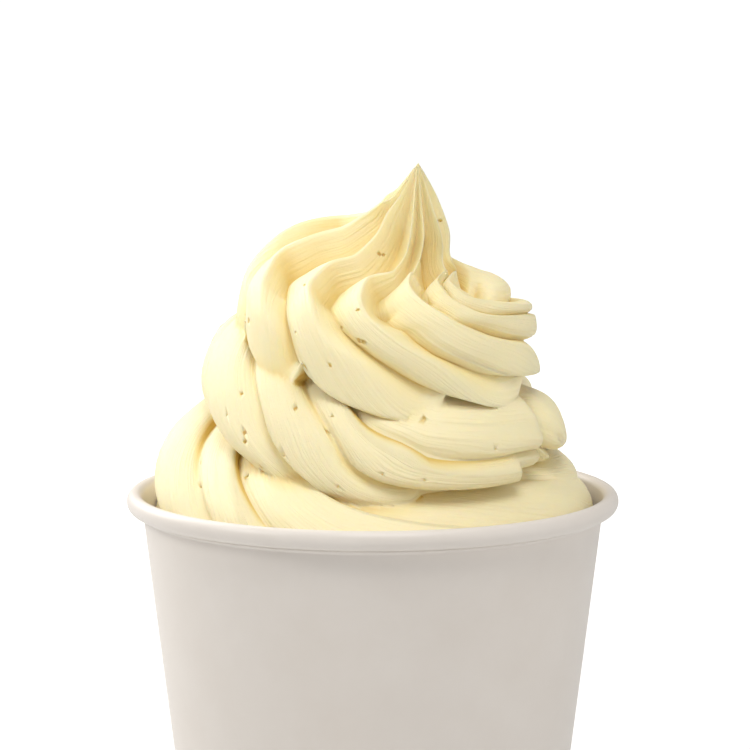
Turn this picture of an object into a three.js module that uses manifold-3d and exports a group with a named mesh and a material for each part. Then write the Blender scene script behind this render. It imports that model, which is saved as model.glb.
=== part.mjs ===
// A paper cup of soft serve: a tapered paper wall with a rolled rim, a recessed
// paper base, and the soft serve, which fills the cup and rises from it in a
// piped swirl. Millimetres, +Z up, origin at the centre of the foot ring.
import * as THREE from "three";
import { mergeVertices } from "three/addons/utils/BufferGeometryUtils.js";
import Module from "manifold-3d";

const wasm = await Module();
wasm.setup();

// ---------- driving dimensions ----------

// paper cup
const CUP_HEIGHT = 75;
const RIM_OUTER_RADIUS = 48;
const RIM_INNER_RADIUS = 44.85;
const ROLL_HEIGHT = 3.8;
const WALL_TOP_RADIUS = 44.9; // outside, where the wall meets the roll
const FOOT_RADIUS = 36; // outside, on the table
const PAPER = 0.5;
const HEM_HEIGHT = 6.2; // the wall is folded up inside the foot
const HEM_THICKNESS = 1.6; // three layers of paper
const BASE_THICKNESS = 0.6;
const GAP = 0.3; // between pieces that touch
const CUP_SIDES = 64;
const ROLL_ARCS = 9;
const ROLL_START = -90; // degrees: the roll springs from the wall under its own middle
const ROLL_SWEEP = 270;

// meshing
const WELD = 1e-3; // points closer than this become one
const FIRST_RING = 0.01; // the crown's first ring lies this share below the tip
const SLOPE_STEP = 1e-3; // step over which the crown's slope is taken

// swirl as a whole; heights are above the rim
const TIP_HEIGHT = 64.1;
const FORWARD_SAG = 0.22; // the coils hang lower in front (-Y)
const TURN_START = 70; // degrees: where the top turn comes out of the crown
const REACH = 44.4; // the soft serve stays inside the paper
const FLANK_STEPS = 3; // faces between a ridge's crest and the crease beside it
// cross-section of a ridge, as powers of the share of the way from crest to crease
const FIN_POWER = 1.7;
const HOOK_BEHIND_POWER = 2.2;
const HOOK_AHEAD_POWER = 1.4;
const LOBE_POWER = 2;
const BROAD_LOBE_POWER = 3; // added in full where one flank takes the whole spacing

// crown: first the share of the way down from tip (0) to lip (1), then the value
const CROWN_RINGS = 36;
const CROWN_RADIUS = [[0, 0], [0.04, 1.9], [0.1, 4.2], [0.2, 6.9], [0.3, 8.3], [0.4, 11], [0.5, 16],
  [0.6, 21.5], [0.7, 25.5], [0.82, 27.8], [0.92, 28.6], [0.96, 27.6], [1, 20]];
const CROWN_HEIGHT = [[0, TIP_HEIGHT], [0.04, 61.3], [0.1, 57.5], [0.2, 52], [0.3, 48.3], [0.4, 46.6],
  [0.5, 46], [0.6, 44.5], [0.7, 41.5], [0.82, 35], [0.92, 28.4], [0.96, 26.8], [1, 29]];
const CROWN_AXIS = [[0, 8.8], [0.2, 8], [0.4, 5], [0.6, 2.6], [1, 1.7]]; // X of its middle
const SAG_SHARE = [[0, 0], [0.12, 0.1], [0.35, 0.9], [0.5, 1], [1, 1]];

// crests of the ridges that sweep over the front: degrees round the axis at each
// station; the other ridges lie evenly between the last and the first of them
const RIDGES = 9;
const CREST_STATIONS = [0, 0.1, 0.2, 0.3, 0.4, 0.47, 0.55, 0.65, 0.75, 0.85, 0.93, 1];
const CRESTS = [
  [208, 206, 192, 182, 173, 170, 175, 196, 208, 215.5, 220.5, 228],
  [222, 221, 217, 220, 221, 215, 221, 233.5, 242, 254, 268, 282],
  [262, 264, 265, 267, 265, 251.5, 254.5, 260.5, 274, 296.5, 316, 338],
  [280, 282, 286, 287.5, 284, 281.5, 285.5, 295.5, 310, 337, 362, 385],
  [310, 311, 320, 326, 325, 305, 305, 312, 342, 372, 396, 420],
  [360, 362, 366, 362, 345, 315, 314.5, 331, 357, 395, 425, 450],
];
// place of the crease behind each crest, as a share of the way to the next crest
const PLAIN_CREASE = [[0, 0.5], [0.45, 0.45], [0.6, 0.35], [1, 0.3]];
const CREASES = [
  [[0, 0.5], [0.5, 0.35], [0.6, 0.25], [1, 0.25]],
  [[0, 0.5], [0.35, 0.45], [0.46, 0.3], [0.56, 0.36], [0.65, 0.36], [0.73, 0.3], [0.8, 0.4], [0.9, 0.48],
    [1, 0.48]],
  [[0, 0.5], [0.4, 0.4], [0.5, 0.3], [0.6, 0.38], [0.67, 0.38], [0.77, 0.25], [0.83, 0.17], [1, 0.2]],
  [[0, 0.5], [0.4, 0.5], [0.5, 0.45], [0.6, 0.5], [0.7, 0.3], [0.8, 0.25], [1, 0.3]],
];
// depth of the creases, less where the ridges crowd closer than FULL_SPACING degrees
const CREASE_DEPTH = [[0, 0], [0.05, 0.8], [0.15, 2.8], [0.3, 4.6], [0.45, 5.2], [0.55, 5.2], [0.7, 4.4],
  [0.8, 3.8], [1, 3.2]];
const FULL_SPACING = 36;
// share of fin and of hook in the ridges' cross-section; the rest of it is a lobe
const FIN = [[0, 1], [0.3, 1], [0.45, 0.35], [0.55, 0], [1, 0]];
const HOOK = [[0, 0], [0.3, 0], [0.45, 0.65], [0.55, 1], [0.68, 0.75], [0.82, 0.1], [1, 0]];
const HOOK_OF_RIDGE = [1, 1, 1, 0.5, 0.3, 0.3, 0.6, 0.8, 1];
// each ridge's lip hangs lower towards its end, then steps up to the next ridge's
const NOTCH = 3.2;
const NOTCH_SHARE = [[0, 0], [0.8, 0], [0.93, 1], [1, 1]];
const NOTCH_OVER_LOBE = [[0, 0.35], [0.42, -0.4], [0.78, -1], [0.84, -0.9], [1, 0.35]];

// how the peak's foot, the shoulder and the lip rise and fall along the top turn,
// and how far the turn is drawn in: [turns, mm]; then where on the way down each
// of them takes hold
const FOOT_RISE = [[0, 4], [0.1, 6], [0.3, 6], [0.42, 3], [0.556, 0], [0.69, -1], [0.78, -1.5], [0.9, 0],
  [1, 4]];
const SHOULDER_RISE = [[0, 1.5], [0.07, 3.6], [0.18, 4], [0.306, 2], [0.42, 0.5], [0.556, 0], [0.69, -1.8],
  [0.78, -2.8], [0.9, -4], [0.96, -2.5], [1, 1.5]];
const LIP_RISE = [[0, 3], [0.1, 7.5], [0.2, 7], [0.306, 6.3], [0.42, 4], [0.5, 1], [0.556, 0], [0.69, -0.7],
  [0.8, -1], [0.9, 0], [1, 3]];
const DRAW_IN = [[0, 9], [0.12, 4.5], [0.2, 1.5], [0.3, 0], [0.6, 0], [0.74, -2.6], [0.8, -2], [0.86, 1.5],
  [0.93, 6], [1, 9]];
const FOOT_SHARE = [[0, 0], [0.08, 0.15], [0.2, 0.8], [0.3, 1], [0.42, 0.55], [0.56, 0], [1, 0]];
const SHOULDER_SHARE = [[0, 0], [0.3, 0], [0.42, 0.45], [0.56, 1], [0.7, 0.75], [0.88, 0], [1, 0]];
const LIP_SHARE = [[0, 0], [0.56, 0], [0.7, 0.25], [0.88, 1], [1, 1]];
const DRAW_IN_SHARE = [[0, 0], [0.3, 0], [0.6, 0.8], [0.8, 1], [1, 1]];

// coils below the crown: first the turns down from TURN_START, then the value
const COIL_FROM = 0.72;
const COIL_TO = 3.3;
const COIL_STRETCHES = 5;
const STRETCH_STEPS = 18;
const COIL_LOBES = 5;
const LIP_RADIUS = [[0.7, 24], [0.8, 27.5], [0.95, 31], [1.1, 34], [1.306, 36.8], [1.556, 37.4], [1.8, 37.8],
  [2.1, 41.5], [2.306, 45.6], [2.556, 48], [2.8, 46.5], [3.06, 45.8], [3.3, 47.5]];
const LIP_HEIGHT = [[0.7, 26], [0.8, 25.5], [1, 22.5], [1.306, 17], [1.42, 12.5], [1.5, 9], [1.556, 7.8],
  [1.69, 7.4], [1.74, 6.2], [1.806, 3.8], [2, 2.5], [2.306, -1.5], [2.42, -3.5], [2.556, -5.5], [2.7, -8],
  [2.8, -10], [3.06, -12], [3.3, -16]];
const COIL_HALF_WIDTH = [[0.7, 9], [1, 12], [1.3, 13.5], [2, 13.5], [3.3, 12]];
const COIL_HALF_HEIGHT = [[0.7, 7], [1, 8.5], [1.3, 9.6], [1.45, 10.8], [1.75, 10.8], [1.9, 9.8],
  [3.3, 9.8]];
const COIL_AXIS = [[0, 1.7], [1.5, 1.7], [2.5, 0.8], [3.3, 0]];
const COIL_VALLEY = 3.4; // depth of the creases between lobes
// lobes passed by a fixed line on the rope; the twist lies down flat at the right (+X)
const COIL_TWIST = [[0.7, 6.1], [1.3, 11.5], [1.42, 12.58], [1.49, 13.25], [1.54, 13.82], [1.567, 13.98],
  [1.61, 14.12], [1.68, 14.3], [1.74, 14.42], [1.8, 14.8], [2, 16.8], [2.3, 19.5], [2.44, 20.75],
  [2.488, 21.25], [2.531, 21.51], [2.579, 21.65], [2.62, 21.75], [2.7, 22.3], [2.765, 22.88], [3, 25],
  [3.3, 27.7]];
const COIL_CREASES = [
  [[1.3, 0.6], [1.5, 0.78], [1.57, 0.82], [1.6, 0.92], [1.75, 0.92], [1.9, 0.6], [3.3, 0.6]],
  [[1.3, 0.5], [1.5, 0.42], [1.6, 0.42], [1.8, 0.5], [3.3, 0.5]],
  [[1.3, 0.35], [1.5, 0.3], [1.7, 0.4], [2.3, 0.6], [2.45, 0.86], [2.65, 0.9], [2.8, 0.6], [3.3, 0.5]],
  [[1.3, 0.5], [2.3, 0.7], [2.45, 0.8], [2.6, 0.8], [3.3, 0.6]],
  [[1.3, 0.5], [3.3, 0.5]],
];
// the rope's upper side falls back by this much towards its top
const COIL_SHOULDER = [[0.7, 5], [1.2, 5], [1.45, 4.8], [1.6, 5.4], [1.9, 6.6], [2.4, 6], [3.3, 6]];
const COIL_SHOULDER_POWER = 1.6;
// lobes that break off: which lobe, after how many turns, and how deep the step is
const COIL_BREAKS = [{ lobe: 1, turns: 1.69, deep: 2 }, { lobe: 2, turns: 1.583, deep: 2.2 }];
const BREAK_LENGTH = 0.006; // turns
const BREAK_POWER = 4;
const COIL_SQUARENESS = 0.75; // 1 is an ellipse, less is squarer
const COIL_SPREAD = 0.38; // the lower part of a coil stands further out
const COIL_SET_BACK = 2.5; // of the rope's middle, so that the spread ends at the lip
const CORE_RADIUS = 3; // the coils' inner side stays this far from the axis

// filling: [radius, height above the rim] of the mound behind the coils
const FILL_SHOULDER = 12; // it fills the cup up to this far below the rim
const MOUND = [[42, -9], [38, -7], [30, -3], [20, 15], [10, 29], [0, 31]];

// ---------- helpers ----------

const FULL_TURN = 2 * Math.PI;
const radians = THREE.MathUtils.degToRad;

// A smooth curve through stations [x, y] that never overshoots them.
function curveThrough(stations) {
  const slopes = stations.slice(1).map(([x, y], i) => (y - stations[i][1]) / (x - stations[i][0]));
  const tangents = stations.map((_, i) => {
    if (i === 0) return slopes[0];
    if (i === slopes.length) return slopes[i - 1];
    const before = slopes[i - 1];
    const after = slopes[i];
    return before * after > 0 ? (2 * before * after) / (before + after) : 0;
  });
  return (x) => {
    const last = stations.length - 2;
    const clamped = THREE.MathUtils.clamp(x, stations[0][0], stations[last + 1][0]);
    let i = 0;
    while (i < last && clamped > stations[i + 1][0]) i += 1;
    const width = stations[i + 1][0] - stations[i][0];
    const s = (clamped - stations[i][0]) / width;
    return (
      (2 * s ** 3 - 3 * s ** 2 + 1) * stations[i][1] +
      (s ** 3 - 2 * s ** 2 + s) * width * tangents[i] +
      (3 * s ** 2 - 2 * s ** 3) * stations[i + 1][1] +
      (s ** 3 - s ** 2) * width * tangents[i + 1]
    );
  };
}

// Height of a ridge, 1 on its crest and 0 in the crease. A fin is thin on both
// sides, a hook drops off at once behind its crest, and a lobe is fat.
function ridgeHeight({ x, behind }, flank, fin, hook) {
  const finned = (1 - x) ** FIN_POWER;
  const hooked = behind ? (1 - x) ** HOOK_BEHIND_POWER : 1 - x ** HOOK_AHEAD_POWER;
  const lobed = 1 - x ** (LOBE_POWER + BROAD_LOBE_POWER * flank);
  return fin * finned + hook * hooked + (1 - fin - hook) * lobed;
}

// One column of points along the ridges: the ridge it belongs to, its share x of
// the way from crest to crease, and whether it lies behind that ridge's crest.
function ridgeColumn(column) {
  const step = column % (2 * FLANK_STEPS);
  const behind = step <= FLANK_STEPS;
  const x = behind ? step / FLANK_STEPS : 2 - step / FLANK_STEPS;
  return { ridge: Math.floor(column / (2 * FLANK_STEPS)), x, behind };
}

// Width of the flank a column lies on, as a share of the ridges' spacing.
const flankWidth = ({ behind }, crease) => (behind ? crease : 1 - crease);

// Where a column lies between its ridge's crest (0) and the next one (1).
const placeBetween = ({ x, behind }, crease) => (behind ? crease * x : 1 - (1 - crease) * x);

// A closed mesh from rings of equally many points, capped at both ends by a fan
// to the given point or to the ring's middle. Each four-sided cell is split along
// its shorter diagonal, so that twisted ridges stay smooth.
function solidFromRings(rings, capPoints = []) {
  const size = rings[0].length;
  const points = rings.flat();
  const faces = [];
  rings.slice(1).forEach((_, i) => {
    for (let j = 0; j < size; j += 1) {
      const a = i * size + j;
      const b = i * size + ((j + 1) % size);
      const rising = points[a].distanceTo(points[b + size]);
      const falling = points[b].distanceTo(points[a + size]);
      if (rising < falling) faces.push(a, a + size, b + size, a, b + size, b);
      else faces.push(a, a + size, b, b, a + size, b + size);
    }
  });
  [rings[0], rings[rings.length - 1]].forEach((ring, end) => {
    const centre = ring.reduce((sum, p) => sum.add(p), new THREE.Vector3()).divideScalar(size);
    const start = end * (rings.length - 1) * size;
    points.push(capPoints[end] ?? centre);
    for (let j = 0; j < size; j += 1) {
      const a = start + j;
      const b = start + ((j + 1) % size);
      if (end) faces.push(b, a, points.length - 1);
      else faces.push(a, b, points.length - 1);
    }
  });
  const geometry = new THREE.BufferGeometry().setFromPoints(points);
  geometry.setIndex(faces);
  return geometry;
}

function toSolid(geometry) {
  const bare = geometry.clone();
  bare.deleteAttribute("normal");
  bare.deleteAttribute("uv");
  const merged = mergeVertices(bare, WELD);
  const solid = new wasm.Manifold(
    new wasm.Mesh({
      numProp: 3,
      vertProperties: merged.attributes.position.array,
      triVerts: new Uint32Array(merged.index.array),
    }),
  );
  if (solid.volume() < 0) throw new Error("a ring solid is inside out");
  return solid;
}

function toGeometry(solid) {
  const { vertProperties, triVerts } = solid.getMesh();
  const geometry = new THREE.BufferGeometry();
  geometry.setAttribute("position", new THREE.BufferAttribute(vertProperties, 3));
  geometry.setIndex(new THREE.BufferAttribute(triVerts, 1));
  geometry.computeVertexNormals();
  return geometry;
}

// ---------- paper cup ----------

const wallOutside = (z) =>
  FOOT_RADIUS + ((WALL_TOP_RADIUS - FOOT_RADIUS) * z) / (CUP_HEIGHT - ROLL_HEIGHT);
const wallInside = (z) => wallOutside(z) - PAPER;

function lathe(profile) {
  const points = profile.map(([r, z]) => new THREE.Vector2(r, z));
  // A LatheGeometry turns about Y, so the piece is stood up on Z.
  return new THREE.LatheGeometry(points, CUP_SIDES).rotateX(Math.PI / 2);
}

function cupWall() {
  const roll = new THREE.Vector2((RIM_OUTER_RADIUS - RIM_INNER_RADIUS) / 2, ROLL_HEIGHT / 2);
  const rollMiddle = [RIM_OUTER_RADIUS - roll.x, CUP_HEIGHT - roll.y];
  const underRoll = CUP_HEIGHT - ROLL_HEIGHT;
  const profile = [[FOOT_RADIUS, 0], [wallOutside(underRoll), underRoll]];
  for (let i = 0; i <= ROLL_ARCS; i += 1) {
    const angle = radians(ROLL_START + (ROLL_SWEEP * i) / ROLL_ARCS);
    profile.push([rollMiddle[0] + roll.x * Math.cos(angle), rollMiddle[1] + roll.y * Math.sin(angle)]);
  }
  profile.push([wallInside(underRoll), underRoll]);
  profile.push([wallInside(HEM_HEIGHT), HEM_HEIGHT]);
  profile.push([wallOutside(HEM_HEIGHT) - HEM_THICKNESS, HEM_HEIGHT]);
  profile.push([FOOT_RADIUS - HEM_THICKNESS, 0]);
  profile.push([FOOT_RADIUS, 0]);
  return lathe(profile);
}

function cupBase() {
  const bottom = HEM_HEIGHT + GAP;
  const top = bottom + BASE_THICKNESS;
  return lathe([
    [0, bottom],
    [wallInside(bottom) - GAP, bottom],
    [wallInside(top) - GAP, top],
    [0, top],
  ]);
}

// ---------- soft serve ----------

// A point of the swirl, kept inside the paper; height is above the rim.
function swirlPoint(axis, radius, angle, height, sag) {
  const point = new THREE.Vector3(axis + radius * Math.cos(angle), radius * Math.sin(angle), 0);
  point.z = CUP_HEIGHT + height + sag * point.y;
  const limit = Math.min(REACH, wallInside(Math.min(point.z, CUP_HEIGHT)) - GAP);
  const reach = Math.hypot(point.x, point.y);
  if (reach > limit) {
    point.x *= limit / reach;
    point.y *= limit / reach;
  }
  return point;
}

// The crown: the peak and the whole top turn, its ridges running from the tip
// out over the shoulder and down round the side to the lip.
function crown() {
  const radiusAt = curveThrough(CROWN_RADIUS);
  const heightAt = curveThrough(CROWN_HEIGHT);
  const axisAt = curveThrough(CROWN_AXIS);
  const sagAt = curveThrough(SAG_SHARE);
  const depthAt = curveThrough(CREASE_DEPTH);
  const finAt = curveThrough(FIN);
  const hookAt = curveThrough(HOOK);
  const notchAt = curveThrough(NOTCH_SHARE);
  const notchOver = curveThrough(NOTCH_OVER_LOBE);
  const drawInAt = curveThrough(DRAW_IN);
  const drawInShareAt = curveThrough(DRAW_IN_SHARE);
  const rises = [
    { alongAt: curveThrough(FOOT_RISE), downAt: curveThrough(FOOT_SHARE) },
    { alongAt: curveThrough(SHOULDER_RISE), downAt: curveThrough(SHOULDER_SHARE) },
    { alongAt: curveThrough(LIP_RISE), downAt: curveThrough(LIP_SHARE) },
  ];
  const crestCurves = CRESTS.map((row) => curveThrough(row.map((crest, i) => [CREST_STATIONS[i], crest])));
  const creaseCurves = Array.from({ length: RIDGES }, (_, i) => curveThrough(CREASES[i] ?? PLAIN_CREASE));

  // Degrees of every crest, and of the first one again after a full turn.
  const crestsAt = (t) => {
    const front = crestCurves.map((curve) => curve(t));
    const last = front[front.length - 1];
    const others = RIDGES - front.length;
    const spacing = (front[0] + 360 - last) / (others + 1);
    const back = Array.from({ length: others }, (_, i) => last + spacing * (i + 1));
    return [...front, ...back, front[0] + 360];
  };

  // How far a ridge's lip is stepped up (or down) at a column, along its own lobe.
  const notch = ({ ridge, x, behind }, creases) => {
    const crease = creases[ridge];
    const previous = creases[(ridge + RIDGES - 1) % RIDGES];
    const following = creases[(ridge + 1) % RIDGES];
    const crestAt = (1 - previous) / (1 - previous + crease);
    const nextCrestAt = (1 - crease) / (1 - crease + following);
    return NOTCH * notchOver(behind ? crestAt + (1 - crestAt) * x : nextCrestAt * (1 - x));
  };

  const rings = [];
  for (let i = 0; i <= CROWN_RINGS; i += 1) {
    const t = Math.max(i / CROWN_RINGS, FIRST_RING);
    const outward = new THREE.Vector2(
      heightAt(t - SLOPE_STEP) - heightAt(t + SLOPE_STEP),
      radiusAt(t + SLOPE_STEP) - radiusAt(t - SLOPE_STEP),
    ).normalize();
    const crests = crestsAt(t);
    const creases = creaseCurves.map((curve) => curve(t));
    const ring = [];
    for (let i = 0; i < RIDGES * 2 * FLANK_STEPS; i += 1) {
      const column = ridgeColumn(i);
      const crease = creases[column.ridge];
      const [here, next] = crests.slice(column.ridge, column.ridge + 2);
      const angle = radians(here + (next - here) * placeBetween(column, crease));
      const along = THREE.MathUtils.euclideanModulo((angle - radians(TURN_START)) / FULL_TURN, 1);
      const hook = hookAt(t) * HOOK_OF_RIDGE[column.ridge];
      const fullness = Math.min(1, (next - here) / FULL_SPACING);
      const top = ridgeHeight(column, flankWidth(column, crease), finAt(t), hook);
      const sunk = depthAt(t) * fullness * (1 - top);
      const radius = radiusAt(t) - drawInAt(along) * drawInShareAt(t) - sunk * outward.x;
      const rise = rises.reduce((sum, { alongAt, downAt }) => sum + alongAt(along) * downAt(t), 0);
      const height = heightAt(t) + rise - sunk * outward.y + notchAt(t) * notch(column, creases);
      ring.push(swirlPoint(axisAt(t), radius, angle, height, FORWARD_SAG * sagAt(t)));
    }
    rings.push(ring);
  }
  const tip = new THREE.Vector3(axisAt(0), 0, CUP_HEIGHT + TIP_HEIGHT);
  return toSolid(solidFromRings(rings, [tip]));
}

// One stretch of the coiled rope below the crown. Its lobes turn about the
// rope's own middle as it descends, so they cross it from the top to the lip.
function coil(from, to) {
  const lipRadiusAt = curveThrough(LIP_RADIUS);
  const lipHeightAt = curveThrough(LIP_HEIGHT);
  const halfWidthAt = curveThrough(COIL_HALF_WIDTH);
  const halfHeightAt = curveThrough(COIL_HALF_HEIGHT);
  const axisAt = curveThrough(COIL_AXIS);
  const twistAt = curveThrough(COIL_TWIST);
  const shoulderAt = curveThrough(COIL_SHOULDER);
  const creaseCurves = COIL_CREASES.map((row) => curveThrough(row));
  const squared = (value) => Math.sign(value) * Math.abs(value) ** COIL_SQUARENESS;

  // Depth of the steps behind the lobes that have broken off by now.
  const brokenOff = ({ ridge, x, behind }, turns) =>
    COIL_BREAKS.reduce((sum, broken) => {
      const flank = behind ? broken.lobe : (broken.lobe + COIL_LOBES - 1) % COIL_LOBES;
      const done = THREE.MathUtils.clamp((turns - broken.turns) / BREAK_LENGTH, 0, 1);
      return ridge === flank ? sum + broken.deep * done * (1 - x ** BREAK_POWER) : sum;
    }, 0);

  const rings = [];
  for (let i = 0; i <= STRETCH_STEPS; i += 1) {
    const turns = from + ((to - from) * i) / STRETCH_STEPS;
    const angle = radians(TURN_START) + FULL_TURN * turns;
    const halfWidth = halfWidthAt(turns);
    const halfHeight = halfHeightAt(turns);
    const ring = [];
    for (let i = 0; i < COIL_LOBES * 2 * FLANK_STEPS; i += 1) {
      const column = ridgeColumn(i);
      const crease = creaseCurves[column.ridge](turns);
      const around = column.ridge + placeBetween(column, crease) + twistAt(turns);
      const roll = (-around / COIL_LOBES) * FULL_TURN;
      const top = ridgeHeight(column, flankWidth(column, crease), 0, 0);
      const sunk = COIL_VALLEY * (1 - top) + brokenOff(column, turns);
      const up = (halfHeight - sunk) * squared(Math.sin(roll));
      const fallenBack = shoulderAt(turns) * (Math.max(up, 0) / halfHeight) ** COIL_SHOULDER_POWER;
      const out = (halfWidth - sunk) * squared(Math.cos(roll)) - COIL_SPREAD * up - fallenBack;
      const radius = Math.max(lipRadiusAt(turns) - halfWidth - COIL_SET_BACK + out, CORE_RADIUS);
      const height = lipHeightAt(turns) + halfHeight + up;
      ring.push(swirlPoint(axisAt(turns), radius, angle, height, FORWARD_SAG));
    }
    rings.push(ring);
  }
  return toSolid(solidFromRings(rings.reverse()));
}

// What fills the cup, and the middle of the swirl behind its coils.
function filling() {
  const bottom = HEM_HEIGHT + BASE_THICKNESS + 2 * GAP;
  const shoulder = CUP_HEIGHT - FILL_SHOULDER;
  const inside = (z) => wallInside(z) - GAP;
  const profile = [
    [0, bottom],
    [inside(bottom), bottom],
    [inside(shoulder), shoulder],
    ...MOUND.map(([r, above]) => [r, CUP_HEIGHT + above]),
  ];
  return toSolid(lathe(profile));
}

function softServe() {
  const length = (COIL_TO - COIL_FROM) / COIL_STRETCHES;
  let swirl = filling().add(crown());
  for (let i = 0; i < COIL_STRETCHES; i += 1) {
    const from = COIL_FROM + i * length;
    swirl = swirl.add(coil(from, from + length));
  }
  // Slivers of air shut in between two coils are filled.
  const bodies = swirl.decompose().sort((a, b) => b.volume() - a.volume());
  return toGeometry(bodies[0]);
}

// ---------- the part ----------

const paperMaterial = new THREE.MeshStandardMaterial({ color: 0xf3efea, roughness: 0.6, metalness: 0 });
const softServeMaterial = new THREE.MeshStandardMaterial({ color: 0xf3e2ae, roughness: 0.45, metalness: 0 });

const part = new THREE.Group();
[
  ["cup_wall", cupWall(), paperMaterial],
  ["cup_base", cupBase(), paperMaterial],
  ["soft_serve", softServe(), softServeMaterial],
].forEach(([name, geometry, material]) => {
  const mesh = new THREE.Mesh(geometry, material);
  mesh.name = name;
  part.add(mesh);
});

export default part;
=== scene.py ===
import math
import random

import bmesh
import bpy
import numpy as np
from mathutils import Matrix, Vector
from mathutils.bvhtree import BVHTree


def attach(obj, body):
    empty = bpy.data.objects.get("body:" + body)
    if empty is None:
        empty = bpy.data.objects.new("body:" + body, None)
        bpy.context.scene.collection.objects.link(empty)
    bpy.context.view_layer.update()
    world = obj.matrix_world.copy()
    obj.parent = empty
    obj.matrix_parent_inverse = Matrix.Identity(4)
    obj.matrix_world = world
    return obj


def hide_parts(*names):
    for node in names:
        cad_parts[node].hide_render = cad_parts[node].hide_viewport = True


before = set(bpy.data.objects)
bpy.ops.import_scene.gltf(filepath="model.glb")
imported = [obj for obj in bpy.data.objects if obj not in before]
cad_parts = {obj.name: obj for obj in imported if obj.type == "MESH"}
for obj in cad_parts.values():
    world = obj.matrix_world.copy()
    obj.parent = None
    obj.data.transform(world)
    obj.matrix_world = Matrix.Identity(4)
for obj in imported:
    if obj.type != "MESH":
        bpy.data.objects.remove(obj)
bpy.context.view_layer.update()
link = bpy.context.scene.collection.objects.link

# ---------- camera ----------
# A long lens a little above the rim, aimed at the foot of the swirl, so that
# the foot of the cup lies just below the frame.
camera_distance = 0.9
camera_elevation = math.radians(9.7)
camera_pitch = math.radians(8.157)
camera_yaw = math.radians(0.029)
sensor_width_mm = 36
frame_width_at_rim = 0.146625
rim_middle = Vector((0, 0, 0.0731))

lens_data = bpy.data.cameras.new("camera")
lens_data.sensor_width = sensor_width_mm
lens_data.lens = sensor_width_mm * camera_distance / frame_width_at_rim
camera = bpy.data.objects.new("camera", lens_data)
link(camera)
towards_camera = Vector((0, -math.cos(camera_elevation), math.sin(camera_elevation)))
camera.location = rim_middle + towards_camera * camera_distance
camera.rotation_euler = (math.pi / 2 - camera_pitch, 0, -camera_yaw)
bpy.context.scene.camera = camera
bpy.context.scene.view_settings.view_transform = "Standard"

# ---------- floor ----------
# A wide, matt, pale studio floor that glows towards its edge, so that it runs
# out to a white surround. The camera sees it whiter than it shines.
floor_radius = 4
floor_grey = 0.62
glow_from, glow_to = 0.2, 1.6
glow_near, glow_far = 0.2, 0.64
# the floor's glow as the camera sees it, brighter than the glow that lights the scene
camera_glow_from, camera_glow_to = 0.15, 0.6
camera_glow_near, camera_glow_far = 0.42, 0.85

floor_mesh = bpy.data.meshes.new("floor")
bm = bmesh.new()
bmesh.ops.create_circle(bm, cap_ends=True, segments=64, radius=floor_radius)
bm.to_mesh(floor_mesh)
bm.free()
floor = bpy.data.objects.new("floor", floor_mesh)
link(floor)

floor_paint = bpy.data.materials.new("floor")
floor_paint.use_nodes = True
floor_nodes = floor_paint.node_tree.nodes
floor_wire = floor_paint.node_tree.links.new
floor_shader = floor_nodes["Principled BSDF"]
floor_shader.inputs["Base Color"].default_value = (floor_grey, floor_grey, floor_grey, 1)
floor_shader.inputs["Emission Strength"].default_value = 1
floor_shader.inputs["Roughness"].default_value = 0.9
floor_shader.inputs["Specular IOR Level"].default_value = 0.1
floor_place = floor_nodes.new("ShaderNodeTexCoord")
floor_distance = floor_nodes.new("ShaderNodeVectorMath")
floor_distance.operation = "LENGTH"
floor_wire(floor_place.outputs["Object"], floor_distance.inputs[0])
outwards = floor_distance.outputs["Value"]


def ranged(nodes, wire, value, start, end, low, high, kind="LINEAR"):
    """A node output that goes from low to high while a value goes from start to end."""
    scale = nodes.new("ShaderNodeMapRange")
    scale.interpolation_type = kind
    scale.inputs["From Min"].default_value = start
    scale.inputs["From Max"].default_value = end
    scale.inputs["To Min"].default_value = low
    scale.inputs["To Max"].default_value = high
    wire(value, scale.inputs["Value"])
    return scale.outputs["Result"]


glow = ranged(floor_nodes, floor_wire, outwards, glow_from, glow_to, glow_near, glow_far, "SMOOTHSTEP")
camera_glow = ranged(floor_nodes, floor_wire, outwards, camera_glow_from, camera_glow_to, camera_glow_near, camera_glow_far, "SMOOTHSTEP")
floor_seen = floor_nodes.new("ShaderNodeLightPath")
floor_glow = floor_nodes.new("ShaderNodeMix")
floor_wire(floor_seen.outputs["Is Camera Ray"], floor_glow.inputs["Factor"])
floor_wire(glow, floor_glow.inputs["A"])
floor_wire(camera_glow, floor_glow.inputs["B"])
floor_wire(floor_glow.outputs["Result"], floor_shader.inputs["Emission Color"])
floor_mesh.materials.append(floor_paint)

# ---------- studio light ----------
# A white surround, a key light high at the left and a broad rim light behind it,
# a large soft light overhead in front, and a weaker fill at the right.
surround_front, surround_back = 0.12, 0.42
front_at, back_at = -0.9, 0.3
lamp_colour = (1, 0.98, 0.945)
swirl_middle = Vector((0, 0, 0.09))

surround = bpy.data.worlds.new("surround")
surround.use_nodes = True
sky = surround.node_tree.nodes
sky_wire = surround.node_tree.links.new
direction = sky.new("ShaderNodeTexCoord")
axes = sky.new("ShaderNodeSeparateXYZ")
sky_wire(direction.outputs["Generated"], axes.inputs["Vector"])
front_to_back = ranged(sky, sky_wire, axes.outputs["Y"], front_at, back_at,
                       surround_front, surround_back, "SMOOTHSTEP")
seen = sky.new("ShaderNodeLightPath")
strength = sky.new("ShaderNodeMix")
strength.inputs["B"].default_value = 1.0
sky_wire(seen.outputs["Is Camera Ray"], strength.inputs["Factor"])
sky_wire(front_to_back, strength.inputs["A"])
sky_wire(strength.outputs["Result"], sky["Background"].inputs["Strength"])
sky["Background"].inputs["Color"].default_value = (1, 0.995, 0.985, 1)
bpy.context.scene.world = surround


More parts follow.
